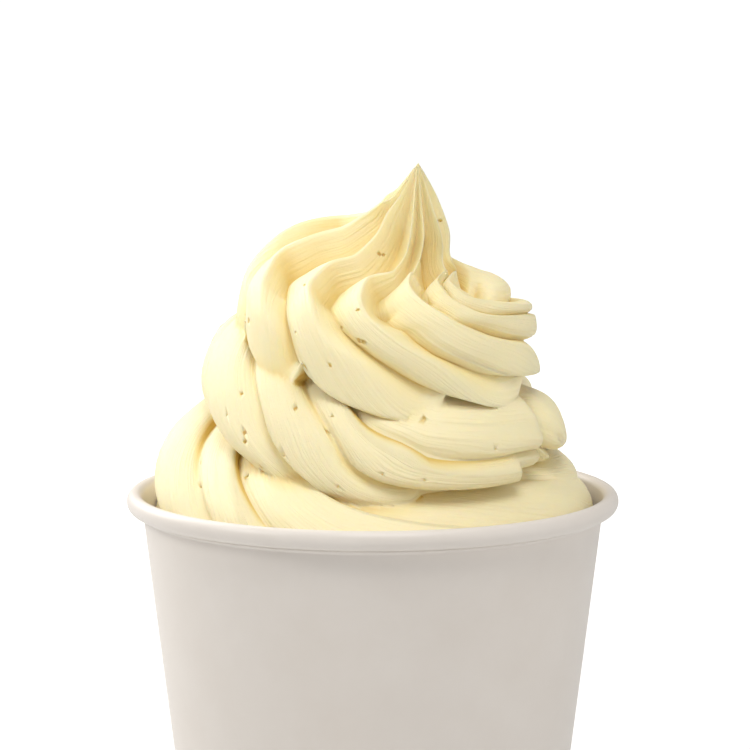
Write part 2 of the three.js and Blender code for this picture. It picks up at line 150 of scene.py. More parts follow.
def softbox(name, place, size, watts):
    """A square area light aimed at the swirl."""
    lamp = bpy.data.lights.new(name, "AREA")
    lamp.size = size
    lamp.energy = watts
    lamp.color = lamp_colour
    holder = bpy.data.objects.new(name, lamp)
    link(holder)
    holder.location = place
    aim = swirl_middle - Vector(place)
    holder.rotation_euler = aim.to_track_quat("-Z", "Y").to_euler()


softbox("key", (-0.34, -0.16, 0.34), 0.14, 0.58)
softbox("rim light", (-0.38, 0.34, 0.42), 0.45, 2.6)
softbox("overhead", (0.07, -0.30, 0.72), 0.36, 2.6)
softbox("fill", (0.50, -0.34, 0.30), 0.40, 0.72)

# ---------- paper cup: wall ----------
# White coated paper board, wound to a cone and lapped at the back. Its top is
# curled outwards to a roll, and its foot is folded inwards round the base.
rim_height_mm = 75
rim_outside_mm = 48
roll_half_width_mm = 1.575
roll_half_height_mm = 1.9
roll_foot_mm = rim_height_mm - 2 * roll_half_height_mm
wall_top_mm = 44.9
foot_mm = 36
foot_round_mm = 0.55
paper_mm = 0.5
hem_height_mm = 6.2
hem_layers_mm = 1.6
hem_round_mm = 0.4
bead_height_mm = 0.9
bead_stand_mm = 0.28
bead_sink_mm = 0.15
cup_steps = 216
lap_angle = math.radians(97)
lap_step_mm = 0.3
lap_width_mm = 8
lap_slit_mm = 0.12
board_tints = ((0.3, (0.755, 0.70, 0.645, 1)), (0.7, (0.785, 0.735, 0.685, 1)))
board_gloss = (0.36, 0.5)


def wall_outside(height_mm):
    """Outside radius of the tapered wall."""
    return foot_mm + (wall_top_mm - foot_mm) * height_mm / roll_foot_mm


def arc(middle, half_width, half_height, start, end, steps):
    """Points of an elliptic arc, angles in degrees from the outward direction."""
    points = []
    for step in range(steps + 1):
        angle = math.radians(start + (end - start) * step / steps)
        points.append((middle[0] + half_width * math.cos(angle),
                       middle[1] + half_height * math.sin(angle)))
    return points


def turned(name, profile_mm, steps, closed=True):
    """A mesh turned about the cup's axis from a profile of (radius, height)."""
    mesh = bpy.data.meshes.new(name)
    shape = bmesh.new()
    corners = [shape.verts.new((r / 1000, 0, z / 1000)) for r, z in profile_mm]
    edges = [shape.edges.new(pair) for pair in zip(corners, corners[1:])]
    if closed:
        edges.append(shape.edges.new((corners[-1], corners[0])))
    bmesh.ops.spin(shape, geom=corners + edges, cent=(0, 0, 0), axis=(0, 0, 1),
                   dvec=(0, 0, 0), angle=2 * math.pi, steps=steps, use_merge=True,
                   use_duplicate=False, use_normal_flip=False)
    bmesh.ops.remove_doubles(shape, verts=shape.verts, dist=1e-6)
    bmesh.ops.recalc_face_normals(shape, faces=shape.faces)
    shape.to_mesh(mesh)
    shape.free()
    mesh.polygons.foreach_set("use_smooth", [True] * len(mesh.polygons))
    piece = bpy.data.objects.new(name, mesh)
    link(piece)
    return piece


def on_wall(inwards_mm, heights_mm):
    """Points of the wall's profile at some heights, in from its outside."""
    return [(wall_outside(z) - inwards_mm, z) for z in heights_mm]


roll_middle = (rim_outside_mm - roll_half_width_mm, rim_height_mm - roll_half_height_mm)
bead_middle_mm = roll_foot_mm - bead_height_mm / 2
bead_place = (wall_outside(bead_middle_mm) - bead_sink_mm, bead_middle_mm)
hem_place = (wall_outside(hem_height_mm) - hem_layers_mm + hem_round_mm,
             hem_height_mm - hem_round_mm)
hem_inside_mm = foot_mm - hem_layers_mm
wall_profile = [
    *arc((foot_mm - foot_round_mm, foot_round_mm), foot_round_mm, foot_round_mm, -90, -6, 5),
    *on_wall(0, (1.5, 8, 25, 45, 60, roll_foot_mm - bead_height_mm - 0.3)),
    *arc(bead_place, bead_stand_mm + bead_sink_mm, bead_height_mm / 2, -80, 80, 8),
    *arc(roll_middle, roll_half_width_mm, roll_half_height_mm, -140, 172, 36),
    *on_wall(paper_mm, (71.6, 70.6, 68, 60, 40, 20, hem_height_mm + 0.4)),
    *arc(hem_place, hem_round_mm, hem_round_mm, 90, 180, 4),
    (hem_inside_mm + 0.02, 0.6),
    (hem_inside_mm + 0.3, 0.05),
    (foot_mm - 0.9, 0.0),
]
paper_wall = turned("paper_wall", wall_profile, cup_steps)

# the lap: the outer layer ends in a step and thins out to nothing beside it
bm = bmesh.new()
bm.from_mesh(paper_wall.data)
lap_along = Vector((-math.sin(lap_angle), math.cos(lap_angle), 0))
for offset_mm in (-lap_slit_mm, lap_slit_mm):
    behind = [f for f in bm.faces if f.calc_center_median().y > 0.02]
    edges_behind = {e for f in behind for e in f.edges}
    corners_behind = {v for f in behind for v in f.verts}
    bmesh.ops.bisect_plane(bm, geom=[*corners_behind, *edges_behind, *behind], dist=1e-7,
                           plane_co=lap_along * offset_mm / 1000, plane_no=lap_along)
for corner in bm.verts:
    across_mm = corner.co.dot(lap_along) * 1000
    radius_mm = math.hypot(corner.co.x, corner.co.y) * 1000
    height_mm = corner.co.z * 1000
    on_outside = corner.co.y > 0 and radius_mm > wall_outside(height_mm) - 0.2
    in_lap = 0.02 < across_mm < lap_width_mm and height_mm < roll_foot_mm - 0.1
    if on_outside and in_lap:
        stand_mm = lap_step_mm * (1 - max(across_mm - 1, 0) / (lap_width_mm - 1)) ** 0.5
        corner.co.x *= 1 + stand_mm / radius_mm
        corner.co.y *= 1 + stand_mm / radius_mm
bm.to_mesh(paper_wall.data)
bm.free()


def noise_of(nodes, wire, place, scale, detail):
    """A noise texture over a place, finer as its scale rises."""
    noise = nodes.new("ShaderNodeTexNoise")
    noise.inputs["Scale"].default_value = scale
    noise.inputs["Detail"].default_value = detail
    wire(place, noise.inputs["Vector"])
    return noise


def bumped(nodes, wire, height, strength, distance):
    """A bump node that lifts a surface by a height texture, distance in metres."""
    bump = nodes.new("ShaderNodeBump")
    bump.inputs["Strength"].default_value = strength
    bump.inputs["Distance"].default_value = distance
    wire(height, bump.inputs["Height"])
    return bump


def grain_group():
    """Fibre and mottling of coated paper board, for every paper piece."""
    group = bpy.data.node_groups.new("board_grain", "ShaderNodeTree")
    group.interface.new_socket("Vector", in_out="INPUT", socket_type="NodeSocketVector")
    group.interface.new_socket("Fibre", in_out="OUTPUT", socket_type="NodeSocketFloat")
    group.interface.new_socket("Mottle", in_out="OUTPUT", socket_type="NodeSocketFloat")
    inside = group.nodes.new("NodeGroupInput")
    outside = group.nodes.new("NodeGroupOutput")
    for output, scale, detail in (("Fibre", 900, 6), ("Mottle", 60, 4)):
        noise = noise_of(group.nodes, group.links.new, inside.outputs["Vector"], scale, detail)
        noise.inputs["Roughness"].default_value = 0.6
        group.links.new(noise.outputs["Fac"], outside.inputs[output])
    return group


def coated_board(name, grain):
    """White satin-coated board with a warm cast and a faint fibre."""
    paint = bpy.data.materials.new(name)
    paint.use_nodes = True
    nodes = paint.node_tree.nodes
    wire = paint.node_tree.links.new
    shader = nodes["Principled BSDF"]
    shader.inputs["Specular IOR Level"].default_value = 0.4
    shader.inputs["Coat Weight"].default_value = 0.15
    shader.inputs["Coat Roughness"].default_value = 0.3
    place = nodes.new("ShaderNodeTexCoord")
    board = nodes.new("ShaderNodeGroup")
    board.node_tree = grain
    wire(place.outputs["Object"], board.inputs["Vector"])
    tint = nodes.new("ShaderNodeValToRGB")
    for stop, (position, colour) in zip(tint.color_ramp.elements, board_tints):
        stop.position = position
        stop.color = colour
    wire(board.outputs["Mottle"], tint.inputs["Fac"])
    wire(tint.outputs["Color"], shader.inputs["Base Color"])
    wire(ranged(nodes, wire, board.outputs["Mottle"], 0, 1, *board_gloss), shader.inputs["Roughness"])
    fibres = bumped(nodes, wire, board.outputs["Fibre"], 0.12, 0.0001)
    wire(fibres.outputs["Normal"], shader.inputs["Normal"])
    return paint


board_grain = grain_group()
board = coated_board("coated_board", board_grain)
paper_wall.data.materials.append(board)
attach(paper_wall, "root")
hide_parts("cup_wall")

# ---------- paper cup: base ----------
# A round of the same board, turned down at its edge and held in the wall's
# folded foot. It sits a little above the table.
base_bottom_mm = 6.5
base_top_mm = 7.1
base_edge_mm = wall_outside(base_bottom_mm) - paper_mm - 0.32
base_round_mm = 0.4
turned_down_mm = 0.12
turned_width_mm = 3
base_middle_mm = 20
edge_middle = (base_edge_mm - base_round_mm, base_bottom_mm + 0.2)

base_profile = [
    (0, base_bottom_mm),
    (base_middle_mm, base_bottom_mm),
    (base_edge_mm - turned_width_mm - 0.4, base_bottom_mm),
    (base_edge_mm - turned_width_mm, base_bottom_mm - turned_down_mm),
    (base_edge_mm - 0.5, base_bottom_mm - turned_down_mm),
    *arc(edge_middle, base_round_mm, base_round_mm, -90, 90, 6),
    (base_edge_mm - turned_width_mm, base_top_mm),
    (base_middle_mm, base_top_mm),
    (0, base_top_mm),
]
paper_base = turned("paper_base", base_profile, 128, closed=False)
paper_base.data.materials.append(board)
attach(paper_base, "root")
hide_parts("cup_base")

# ---------- soft serve ----------
# Cream-coloured soft serve, drawn from a nozzle with a star mouth. It fills
# the cup, coils up three turns and ends in a crown of nine ridges and a peak.
# Its tables pair a place with a value: on the crown the place is the share of
# the way down from tip to lip, on the coils the turns down from turn_start.
# Heights are in mm above the rim.
turn = 2 * math.pi
ridges = 9
turn_start = math.radians(70)
forward_sag = 0.22
reach_mm = 44.4
gap_mm = 0.3
# powers of the share of the way from crest to crease, for a ridge's section
fin_power = 1.7
hook_behind_power, hook_ahead_power = 2.2, 1.4
lobe_power, broad_lobe_power = 2, 3
# fine lines beside a crease: place and relative depth; they need a broad flank
line_places = ((0.74, 1), (0.86, 0.8))
line_width, line_depth_mm = 0.03, 0.45
broad_from, broad_range = 0.6, 0.2

first_ring = 0.004
crown_radius = [(0, 0), (0.04, 1.9), (0.1, 4.2), (0.2, 6.9), (0.3, 8.3), (0.4, 11), (0.5, 16),
                (0.6, 21.5), (0.7, 25.5), (0.82, 27.8), (0.92, 28.6), (0.96, 27.6), (1, 20)]
crown_height = [(0, 64.1), (0.04, 61.3), (0.1, 57.5), (0.2, 52), (0.3, 48.3), (0.4, 46.6), (0.5, 46),
                (0.6, 44.5), (0.7, 41.5), (0.82, 35), (0.92, 28.4), (0.96, 26.8), (1, 29)]
crown_axis = [(0, 8.8), (0.2, 8), (0.4, 5), (0.6, 2.6), (1, 1.7)]
crown_stations = (0, 0.1, 0.2, 0.3, 0.4, 0.47, 0.55, 0.65, 0.75, 0.85, 0.93, 1)
# where the crests of the ridges at the front run: degrees round the axis at
# each of those stations
crown_crests = ((208, 206, 192, 182, 173, 170, 175, 196, 208, 215.5, 220.5, 228),
                (222, 221, 217, 220, 221, 215, 221, 233.5, 242, 254, 268, 282),
                (262, 264, 265, 267, 265, 251.5, 254.5, 260.5, 274, 296.5, 316, 338),
                (280, 282, 286, 287.5, 284, 281.5, 285.5, 295.5, 310, 337, 362, 385),
                (310, 311, 320, 326, 325, 305, 305, 312, 342, 372, 396, 420),
                (360, 362, 366, 362, 345, 315, 314.5, 331, 357, 395, 425, 450))
# where the crease after each crest lies, as a share of the way to the next crest
plain_crease = [(0, 0.5), (0.45, 0.45), (0.6, 0.35), (1, 0.3)]
crown_creases = ([(0, 0.5), (0.5, 0.35), (0.6, 0.25), (1, 0.25)],
                 [(0, 0.5), (0.35, 0.45), (0.46, 0.3), (0.56, 0.36), (0.65, 0.36), (0.73, 0.3),
                  (0.8, 0.4), (0.9, 0.48), (1, 0.48)],
                 [(0, 0.5), (0.4, 0.4), (0.5, 0.3), (0.6, 0.38), (0.67, 0.38), (0.77, 0.25),
                  (0.83, 0.17), (1, 0.2)],
                 [(0, 0.5), (0.4, 0.5), (0.5, 0.45), (0.6, 0.5), (0.7, 0.3), (0.8, 0.25), (1, 0.3)],
                 *[plain_crease] * 5)
crown_depth = [(0, 0), (0.05, 0.8), (0.15, 2.8), (0.3, 4.6), (0.45, 5.2), (0.55, 5.2), (0.7, 4.4),
               (0.8, 3.8), (1, 3.2)]
# share of fin and of hook in a ridge's section; the rest of it is a lobe
crown_fin = [(0, 1), (0.3, 1), (0.45, 0.35), (0.55, 0), (1, 0)]
crown_hook = [(0, 0), (0.3, 0), (0.45, 0.65), (0.55, 1), (0.68, 0.75), (0.82, 0.1), (1, 0)]
crown_hook_shares = (1, 1, 1, 0.5, 0.3, 0.3, 0.6, 0.8, 1)
full_spacing = 36  # degrees; ridges that crowd closer have shallower creases
# small deep pockets where two ridges part: ridge, share of the way down, depth in mm
crown_pockets = ((2, 0.585, 1.6), (3, 0.54, 1.6), (5, 0.5, 1.8))
pocket_length, pocket_width = 0.02, 0.3
# each ridge's lip hangs lower to its end, then steps up to the next ridge's
notch_mm = 3.2
notch_share = [(0, 0), (0.8, 0), (0.93, 1), (1, 1)]
notch_over_lobe = [(0, 0.35), (0.42, -0.4), (0.78, -1), (0.84, -0.9), (1, 0.35)]
# the fold that lies round the peak's foot: middle and half width in degrees, height in mm
collar_middle, collar_width, collar_mm = 303, 28, 1.1
collar_stop, collar_length = 0.435, 0.024
# how the peak's foot, the shoulder and the lip rise along the top turn, and how
# far it is drawn in; each has a share that says where on the way down it holds
foot_rise = [(0, 4), (0.1, 6), (0.3, 6), (0.42, 3), (0.556, 0), (0.69, -1), (0.78, -1.5), (0.9, 0),
             (1, 4)]
shoulder_rise = [(0, 1.5), (0.07, 3.6), (0.18, 4), (0.306, 2), (0.42, 0.5), (0.556, 0), (0.69, -1.8),
                 (0.78, -2.8), (0.9, -4), (0.96, -2.5), (1, 1.5)]
lip_rise = [(0, 3), (0.1, 7.5), (0.2, 7), (0.306, 6.3), (0.42, 4), (0.5, 1), (0.556, 0), (0.69, -0.7),
            (0.8, -1), (0.9, 0), (1, 3)]
draw_in = [(0, 9), (0.12, 4.5), (0.2, 1.5), (0.3, 0), (0.6, 0), (0.74, -2.6), (0.8, -2),
           (0.86, 1.5), (0.93, 6), (1, 9)]
foot_share = [(0, 0), (0.08, 0.15), (0.2, 0.8), (0.3, 1), (0.42, 0.55), (0.56, 0), (1, 0)]
shoulder_share = [(0, 0), (0.3, 0), (0.42, 0.45), (0.56, 1), (0.7, 0.75), (0.88, 0), (1, 0)]
lip_share = [(0, 0), (0.56, 0), (0.7, 0.25), (0.88, 1), (1, 1)]
draw_in_share = [(0, 0), (0.3, 0), (0.6, 0.8), (0.8, 1), (1, 1)]
crown_rises = ((foot_rise, foot_share), (shoulder_rise, shoulder_share), (lip_rise, lip_share))
sag_share = [(0, 0), (0.12, 0.1), (0.35, 0.9), (0.5, 1), (1, 1)]

coil_from, coil_to = 0.72, 3.3
coil_lobes = 5
lip_radius = [(0.7, 24), (0.8, 27.5), (0.95, 31), (1.1, 34), (1.306, 36.8), (1.556, 37.4), (1.8, 37.8),
              (2.1, 41.5), (2.306, 45.6), (2.556, 48), (2.8, 46.5), (3.06, 45.8), (3.3, 47.5)]
lip_height = [(0.7, 26), (0.8, 25.5), (1, 22.5), (1.306, 17), (1.42, 12.5), (1.5, 9), (1.556, 7.8),
              (1.69, 7.4), (1.74, 6.2), (1.806, 3.8), (2, 2.5), (2.306, -1.5), (2.42, -3.5), (2.556, -5.5),
              (2.7, -8), (2.8, -10), (3.06, -12), (3.3, -16)]
coil_half_width = [(0.7, 9), (1, 12), (1.3, 13.5), (2, 13.5), (3.3, 12)]
coil_half_height = [(0.7, 7), (1, 8.5), (1.3, 9.6), (1.45, 10.8), (1.75, 10.8), (1.9, 9.8),
                    (3.3, 9.8)]
coil_axis = [(0, 1.7), (1.5, 1.7), (2.5, 0.8), (3.3, 0)]
coil_valley_mm = 3.4
# lobes passed by a fixed line on the rope: the twist lies down flat at the right
coil_twist = [(0.7, 6.1), (1.3, 11.5), (1.42, 12.58), (1.49, 13.25), (1.54, 13.82), (1.567, 13.98),
              (1.61, 14.12), (1.68, 14.3), (1.74, 14.42), (1.8, 14.8), (2, 16.8), (2.3, 19.5),
              (2.44, 20.75), (2.488, 21.25), (2.531, 21.51), (2.579, 21.65), (2.62, 21.75),
              (2.7, 22.3), (2.765, 22.88), (3, 25), (3.3, 27.7)]
# how far, in mm, the rope's upper side falls back towards its top
coil_shoulder = [(0.7, 5), (1.2, 5), (1.45, 4.8), (1.6, 5.4), (1.9, 6.6), (2.4, 6), (3.3, 6)]
coil_shoulder_power = 1.6
coil_creases = ([(1.3, 0.6), (1.5, 0.78), (1.57, 0.82), (1.6, 0.92), (1.75, 0.92), (1.9, 0.6),
                 (3.3, 0.6)],
                [(1.3, 0.5), (1.5, 0.42), (1.6, 0.42), (1.8, 0.5), (3.3, 0.5)],
                [(1.3, 0.35), (1.5, 0.3), (1.7, 0.4), (2.3, 0.6), (2.45, 0.86), (2.65, 0.9),
                 (2.8, 0.6), (3.3, 0.5)],
                [(1.3, 0.5), (2.3, 0.7), (2.45, 0.8), (2.6, 0.8), (3.3, 0.6)],
                [(1.3, 0.5), (3.3, 0.5)])
# the split along one broad lobe: its depth, then which lobe, where on it, how wide
coil_split_mm = [(1.5, 0), (1.58, 1.6), (1.74, 1.6), (1.82, 0), (3.3, 0)]
coil_split_lobe, coil_split_place, coil_split_width = 0, 0.55, 0.035
# lobes that break off: lobe, turns, depth in mm of the step behind the break
coil_breaks = ((1, 1.69, 2.0), (2, 1.583, 2.2))
break_length, break_power = 0.006, 4
coil_squareness = 0.75
coil_spread = 0.38
coil_set_back_mm = 2.5
core_mm = 3
# columns of points a ridge, the share of them behind its crest, and rows
ridge_columns, crease_column = 36, 0.4
crown_rows = 170
stretches, stretch_rows = 5, 64
fill_bottom_mm = base_top_mm + gap_mm
fill_round_mm = 1


def through(stations, x):
    """Heights at x of a smooth curve through stations that never overshoots them."""
    xs, ys = np.array(stations, float).T
    widths = np.diff(xs)
    slopes = np.diff(ys) / widths
    before, after = slopes[:-1], slopes[1:]
    tangents = np.concatenate(([slopes[0]], np.zeros(len(xs) - 2), [slopes[-1]]))
    both = before * after > 0
    tangents[1:-1][both] = 2 * before[both] * after[both] / (before[both] + after[both])
    x = np.clip(x, xs[0], xs[-1])
    i = np.clip(np.searchsorted(xs, x) - 1, 0, len(xs) - 2)
    s = (x - xs[i]) / widths[i]
    return ((2 * s**3 - 3 * s**2 + 1) * ys[i] + (s**3 - 2 * s**2 + s) * widths[i] * tangents[i]
            + (3 * s**2 - 2 * s**3) * ys[i + 1] + (s**3 - s**2) * widths[i] * tangents[i + 1])


def ridge_place(across, crease):
    """Where a column lies between two crests, its share x of the way from crest to
    crease, the width of the flank it is on as a share of the ridges' spacing, and
    whether that flank is the one behind the crest."""
    column = across - np.floor(across + 1e-9)
    after = column <= crease_column
    x = np.where(after, column / crease_column, (1 - column) / (1 - crease_column))
    place = np.where(after, crease * x, 1 - (1 - crease) * x)
    return place, x, np.where(after, crease, 1 - crease), after


def ridge_height(x, flank, after, fin, hook):
    """1 on a ridge's crest and 0 in the crease. A fin is thin on both sides, a hook
    drops off at once behind its crest, and a lobe is fat."""
    lobe = 1 - x ** (lobe_power + broad_lobe_power * flank)
    hooked = np.where(after, (1 - x) ** hook_behind_power, 1 - x**hook_ahead_power)
    return fin * (1 - x) ** fin_power + hook * hooked + (1 - fin - hook) * lobe


def fine_lines(x, flank):
    """Depth in mm of the fine lines that run beside a crease on a broad flank."""
    broad = np.clip((flank - broad_from) / broad_range, 0, 1)
    lines = sum(deep * np.exp(-(((x - place) / line_width) ** 2)) for place, deep in line_places)
    return line_depth_mm * broad * lines


def inside_paper(x, y, z):
    """Keeps points, in mm, clear of the paper."""
    wall = wall_outside(np.minimum(z, rim_height_mm)) - paper_mm - gap_mm
    limit = np.minimum(reach_mm, wall)
    scale = np.minimum(1, limit / np.maximum(np.hypot(x, y), 1e-6))
    return np.stack((x * scale, y * scale, z), axis=-1)


def crown_crest(t):
    """Degrees of every crest at t: the front ones, then the others evenly behind."""
    front = [through(list(zip(crown_stations, row)), t) for row in crown_crests]
    others = ridges - len(front)
    spacing = (front[0] + 360 - front[-1]) / (others + 1)
    back = [front[-1] + spacing * (i + 1) for i in range(others)]
    return np.array(front + back + [front[0] + 360])


def along_lobe(x, after, crease, before, later):
    """How far along its ridge's lip a point lies, from one crease (0) to the next
    (1). Before and later are the places of the creases of the ridges beside it."""
    crest = (1 - before) / (1 - before + crease)
    next_crest = (1 - crease) / (1 - crease + later)
    return np.where(after, crest + (1 - crest) * x, next_crest * (1 - x))


def crown_points(across, down):
    """The crown: across runs 0 to 1 round it, down runs 0 to 1 from the tip to the lip."""
    t = np.maximum(down, first_ring)
    across = across * ridges
    across = np.where(across >= ridges, across - 1e-7, across)
    owner = np.floor(across + 1e-9).astype(int)
    column = np.arange(len(t))
    creases = np.array([through(row, t) for row in crown_creases])
    crease = creases[owner, column]
    place, x, flank, after = ridge_place(across, crease)
    crests = crown_crest(t)
    here, following = crests[owner, column], crests[owner + 1, column]
    angle = np.radians(here + (following - here) * place)
    along = ((angle - turn_start) / turn) % 1

    step = 1e-3
    run = through(crown_radius, t + step) - through(crown_radius, t - step)
    fall = through(crown_height, t - step) - through(crown_height, t + step)
    length = np.hypot(run, fall)
    fin = through(crown_fin, t)
    hook = through(crown_hook, t) * np.array(crown_hook_shares)[owner]
    fullness = np.minimum(1, (following - here) / full_spacing)
    sunk = through(crown_depth, t) * fullness * (1 - ridge_height(x, flank, after, fin, hook))
    sunk = sunk + (1 - fin) * fullness * fine_lines(x, flank)
    apart = (np.degrees(angle) - collar_middle) / collar_width
    sunk = sunk - collar_mm * np.exp(-(((t - collar_stop) / collar_length) ** 2) - apart**4)
    for ridge, stop, deep in crown_pockets:
        spot = np.exp(-(((t - stop) / pocket_length) ** 2) - ((1 - x) / pocket_width) ** 2)
        sunk = sunk + np.where(owner == ridge, deep * spot, 0)

    radius = through(crown_radius, t) - through(draw_in, along) * through(draw_in_share, t)
    radius = np.maximum(radius - sunk * fall / length, 0.02 * t)
    height = through(crown_height, t) - sunk * run / length
    for rise, share in crown_rises:
        height = height + through(rise, along) * through(share, t)
    lip_place = along_lobe(x, after, crease, creases[owner - 1, column],
                           creases[(owner + 1) % ridges, column])
    height = height + notch_mm * through(notch_share, t) * through(notch_over_lobe, lip_place)
    px = through(crown_axis, t) + radius * np.cos(angle)
    py = radius * np.sin(angle)
    pz = rim_height_mm + height + forward_sag * through(sag_share, t) * py
    points = inside_paper(px, py, pz)
    points[down < 1e-6] = (crown_axis[0][1], 0, rim_height_mm + crown_height[0][1])
    return points


def coil_points(across, turns):
    """A stretch of the coil: across runs 0 to 1 round the rope, turns down from the crown."""
    across = across * coil_lobes
    across = np.where(across >= coil_lobes, across - 1e-7, across)
    owner = np.floor(across + 1e-9).astype(int)
    crease = np.array([through(row, turns) for row in coil_creases])[owner, np.arange(len(across))]
    place, x, flank, after = ridge_place(across, crease)
    roll = -(owner + place + through(coil_twist, turns)) / coil_lobes * turn

    sunk = coil_valley_mm * (1 - ridge_height(x, flank, after, 0, 0)) + fine_lines(x, flank)
    split = np.exp(-(((place - coil_split_place) / coil_split_width) ** 2))
    sunk = sunk + np.where(owner == coil_split_lobe, through(coil_split_mm, turns) * split, 0)
    for lobe, stop, deep in coil_breaks:
        of_lobe = ((owner == lobe) & after) | ((owner == (lobe - 1) % coil_lobes) & ~after)
        behind = np.clip((turns - stop) / break_length, 0, 1)
        sunk = sunk + np.where(of_lobe, deep * behind * (1 - x**break_power), 0)

    cosine, sine = np.cos(roll), np.sin(roll)
    half_width = through(coil_half_width, turns)
    half_height = through(coil_half_height, turns)
    up = (half_height - sunk) * np.sign(sine) * np.abs(sine) ** coil_squareness
    out = (half_width - sunk) * np.sign(cosine) * np.abs(cosine) ** coil_squareness - coil_spread * up
    out = out - through(coil_shoulder, turns) * (np.maximum(up, 0) / half_height) ** coil_shoulder_power
    radius = np.maximum(through(lip_radius, turns) - half_width - coil_set_back_mm + out, core_mm)
    angle = turn_start + turn * turns
    px = through(coil_axis, turns) + radius * np.cos(angle)
    py = radius * np.sin(angle)
    pz = rim_height_mm + through(lip_height, turns) + half_height + up + forward_sag * py
    return inside_paper(px, py, pz)


def drawn(name, columns, rows, place):
    """A closed solid from a grid: place turns its shares across and along into points in mm."""
    mesh = bpy.data.meshes.new(name)
    shape = bmesh.new()
    shape.loops.layers.uv.new("flow")
    bmesh.ops.create_grid(shape, x_segments=columns, y_segments=rows, size=0.5, calc_uvs=True)
    shares = np.array([v.co for v in shape.verts])[:, :2] + 0.5
    for corner, point in zip(shape.verts, place(shares[:, 0], shares[:, 1]) / 1000):
        corner.co = point
    bmesh.ops.remove_doubles(shape, verts=shape.verts, dist=2e-6)
    caps = bmesh.ops.holes_fill(shape, edges=[e for e in shape.edges if e.is_boundary], sides=0)
    bmesh.ops.poke(shape, faces=caps["faces"])
    bmesh.ops.recalc_face_normals(shape, faces=shape.faces)
    shape.to_mesh(mesh)
    shape.free()
    solid = bpy.data.objects.new(name, mesh)
    link(solid)
    return solid


crown = drawn("crown", ridges * ridge_columns, crown_rows, crown_points)
length = (coil_to - coil_from) / stretches
parts = []
for i in range(stretches):
    begin = coil_from + i * length
    parts.append(drawn(f"coil_{i}", coil_lobes * ridge_columns, stretch_rows,
                       lambda across, along, begin=begin: coil_points(across, begin + along * length)))

# the filling: it lies on the base, follows the wall and holds up the coils
fill_profile = [
    (0, fill_bottom_mm),
    *on_wall(paper_mm + gap_mm + fill_round_mm, [fill_bottom_mm]),
    *on_wall(paper_mm + gap_mm, (fill_bottom_mm + fill_round_mm, 30, 50, 63)),
    *((42, 66), (38, 68), (30, 72), (20, 90), (10, 104), (0, 106)),
]
parts.append(turned("filling", fill_profile, 128, closed=False))

# all parts become one solid; a face's layer says which part it comes from
for number, part in enumerate([crown, *parts]):
    layer = part.data.attributes.new("layer", "INT", "FACE")
    layer.data.foreach_set("value", [number] * len(part.data.polygons))
for part in parts:
    join = crown.modifiers.new(part.name, "BOOLEAN")
    join.operation = "UNION"
    join.solver = "MANIFOLD"
    join.object = part
bpy.context.view_layer.update()
graph = bpy.context.evaluated_depsgraph_get()
surface = BVHTree.FromObject(crown, graph)

# little holes left by air: degrees round the axis, height in mm, size in mm
seen_pits = ((263, 113.3, 0.45), (255, 109.8, 0.4), (264, 107.7, 0.7), (266, 107.5, 0.55),
             (253, 103.2, 0.4), (205, 109.7, 0.55), (245, 113.8, 0.3), (328, 115.4, 0.4),
             (332, 115.2, 0.35), (337, 115, 0.5), (283, 121.9, 0.4), (292, 121.7, 0.35),
             (322, 120.7, 0.5), (327, 120.1, 0.4), (224, 89.9, 0.5), (225, 88.3, 0.55),
             (241, 86.6, 0.4), (241, 94.9, 0.45), (195, 86.8, 0.55), (206, 82.8, 0.5),
             (213, 79.1, 0.35), (226, 81.6, 0.45))
more_pits = 46
pit_heights_mm, pit_sizes_mm = (78, 128), (0.22, 0.5)
# a pit's length, width and depth, and how far it is sunk, all times its size
pit_lengths, pit_widths, pit_depth, pit_sink = (0.8, 1.5), (0.7, 1), 0.9, 0.3
pit_layer = -1

random.seed(11)
pits = list(seen_pits)
for _ in range(more_pits):
    pits.append((random.uniform(0, 360), random.uniform(*pit_heights_mm), random.uniform(*pit_sizes_mm)))
pit_mesh = bpy.data.meshes.new("pits")
bm = bmesh.new()
for bearing, height_mm, size_mm in pits:
    heading = Vector((math.cos(math.radians(bearing)), math.sin(math.radians(bearing)), 0))
    beside_it = heading * 0.07 + Vector((0, 0, height_mm / 1000))
    place, facing, _, _ = surface.ray_cast(beside_it, -heading)
    turned_to = facing.to_track_quat("Z", "Y").to_matrix().to_4x4()
    spin = Matrix.Rotation(random.uniform(0, math.pi), 4, "Z")
    long_way = Matrix.Diagonal((random.uniform(*pit_lengths), random.uniform(*pit_widths), pit_depth, 1))
    middle = Matrix.Translation(place - facing * size_mm * (pit_sink / 1000))
    bmesh.ops.create_icosphere(bm, subdivisions=2, radius=size_mm / 1000,
                               matrix=middle @ turned_to @ spin @ long_way)
bm.to_mesh(pit_mesh)
bm.free()
layer = pit_mesh.attributes.new("layer", "INT", "FACE")
layer.data.foreach_set("value", [pit_layer] * len(pit_mesh.polygons))
pit_object = bpy.data.objects.new("pits", pit_mesh)
link(pit_object)
cut = crown.modifiers.new("pits", "BOOLEAN")
cut.operation = "DIFFERENCE"
cut.solver = "MANIFOLD"
cut.object = pit_object
bpy.context.view_layer.update()
swirl_mesh = bpy.data.meshes.new_from_object(crown.evaluated_get(bpy.context.evaluated_depsgraph_get()))
swirl_mesh.name = "swirl"
for part in [crown, *parts, pit_object]:
    bpy.data.objects.remove(part)
swirl = bpy.data.objects.new("swirl", swirl_mesh)
link(swirl)


